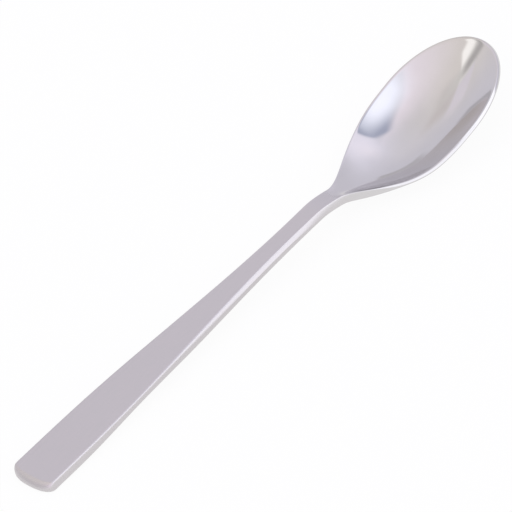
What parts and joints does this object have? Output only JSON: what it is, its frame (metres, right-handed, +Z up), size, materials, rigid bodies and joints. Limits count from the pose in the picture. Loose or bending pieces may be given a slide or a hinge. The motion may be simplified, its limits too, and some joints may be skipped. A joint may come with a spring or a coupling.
{
  "type": "table spoon",
  "caption": "Stainless-steel table spoon with a flat satin handle that tapers to a narrow neck and a polished oval bowl, for eating and serving food.",
  "frame": {"origin": "middle of the bounding box in plan, on the table that the spoon lies on", "axes": "+X from the end of the handle to the tip of the bowl, +Y across the spoon to its left, +Z up out of the bowl"},
  "size_m": [0.1994, 0.0396, 0.0175],
  "materials": {
    "polished_steel": "mirror polished",
    "satin_steel": "satin, brushed lengthwise"
  },
  "bodies": {
    "root": {"bowl": "polished_steel", "handle": "satin_steel"}
  },
  "joints": []
}
